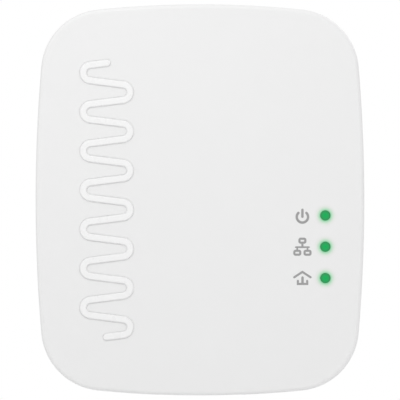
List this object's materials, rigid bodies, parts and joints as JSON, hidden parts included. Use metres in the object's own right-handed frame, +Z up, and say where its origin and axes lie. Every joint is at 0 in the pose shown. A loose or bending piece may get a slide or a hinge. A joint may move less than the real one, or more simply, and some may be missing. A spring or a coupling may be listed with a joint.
{
  "type": "powerline adapter",
  "caption": "Compact wall-plug powerline network adapter: rounded white case, two round insulated pins, bottom network socket, sprung pairing button and recessed reset switch.",
  "frame": {"origin": "centre of the plug boss's flat end face, between the two pins", "axes": "+Y is the way the plug goes into the wall socket, +Z is up with the network port at the bottom, +X is to the right seen from the front"},
  "size_m": [0.0554, 0.0651, 0.066],
  "materials": {
    "white_case": "satin",
    "nickel_pin": "polished",
    "white_sleeve": "satin",
    "steel_screw": "satin",
    "label_film": "satin",
    "board_green": "satin",
    "chip_black": "matte",
    "pad_grey": "matte",
    "heat_aluminium": "satin",
    "can_silver": "satin",
    "jack_black": "satin",
    "contact_gold": "polished",
    "lamp_green": "gloss",
    "clear_guide": "gloss",
    "switch_steel": "satin",
    "plunger_black": "satin",
    "fuse_ceramic": "satin",
    "varistor_blue": "gloss",
    "film_yellow": "satin",
    "sleeve_black": "gloss",
    "ferrite_grey": "matte",
    "bobbin_black": "satin",
    "tape_yellow": "satin",
    "sheet_clear": "satin"
  },
  "bodies": {
    "case": {"front_cover": "white_case", "rear_cover": "white_case", "pin_retainer": "white_case", "pin_live": "nickel_pin", "pin_neutral": "nickel_pin", "pin_sleeve_live": "white_sleeve", "pin_sleeve_neutral": "white_sleeve", "case_screw_1": "steel_screw", "case_screw_2": "steel_screw", "case_screw_3": "steel_screw", "case_screw_4": "steel_screw", "board_screw_1": "steel_screw", "board_screw_2": "steel_screw", "power_board_screw_1": "steel_screw", "power_board_screw_2": "steel_screw", "rating_label": "label_film", "main_board": "board_green", "power_board": "board_green", "plc_chip": "chip_black", "memory_chip": "chip_black", "flash_chip": "chip_black", "lan_transformer": "chip_black", "bridge_rectifier": "chip_black", "output_diode": "chip_black", "thermal_pad": "pad_grey", "heat_spreader": "heat_aluminium", "crystal": "can_silver", "rj45_housing": "jack_black", "link_header": "jack_black", "rj45_contact_1": "contact_gold", "rj45_contact_2": "contact_gold", "rj45_contact_3": "contact_gold", "rj45_contact_4": "contact_gold", "rj45_contact_5": "contact_gold", "rj45_contact_6": "contact_gold", "rj45_contact_7": "contact_gold", "rj45_contact_8": "contact_gold", "led_power": "lamp_green", "led_network": "lamp_green", "led_powerline": "lamp_green", "light_guide": "clear_guide", "pair_switch_body": "switch_steel", "reset_switch_body": "switch_steel", "line_fuse": "fuse_ceramic", "varistor": "varistor_blue", "x2_capacitor": "film_yellow", "coupling_capacitor": "film_yellow", "bulk_capacitor_1": "sleeve_black", "bulk_capacitor_2": "sleeve_black", "output_capacitor": "sleeve_black", "line_choke": "ferrite_grey", "coupling_transformer": "ferrite_grey", "transformer_core": "ferrite_grey", "transformer_bobbin": "bobbin_black", "transformer_winding": "tape_yellow", "insulation_sheet": "sheet_clear"},
    "pair_button": {"pair_button": "white_case"},
    "pair_plunger": {"pair_switch_plunger": "plunger_black"},
    "reset_plunger": {"reset_switch_plunger": "plunger_black"}
  },
  "joints": [
    {"name": "pair_button_press", "type": "slide", "parent": "case", "child": "pair_button", "axis": [0, 0, 1], "range_m": [0, 0.0005], "stiffness_N_per_m": 1500, "springref_m": -0.0005},
    {"name": "pair_plunger_press", "type": "slide", "parent": "case", "child": "pair_plunger", "axis": [0, 0, 1], "range_m": [0, 0.0005]},
    {"name": "reset_plunger_press", "type": "slide", "parent": "case", "child": "reset_plunger", "axis": [0, 0, 1], "range_m": [0, 0.0003], "stiffness_N_per_m": 2500, "springref_m": -0.0003}
  ],
  "couplings": [
    {"joint": "pair_plunger_press", "follows": "pair_button_press", "ratio": 1}
  ]
}
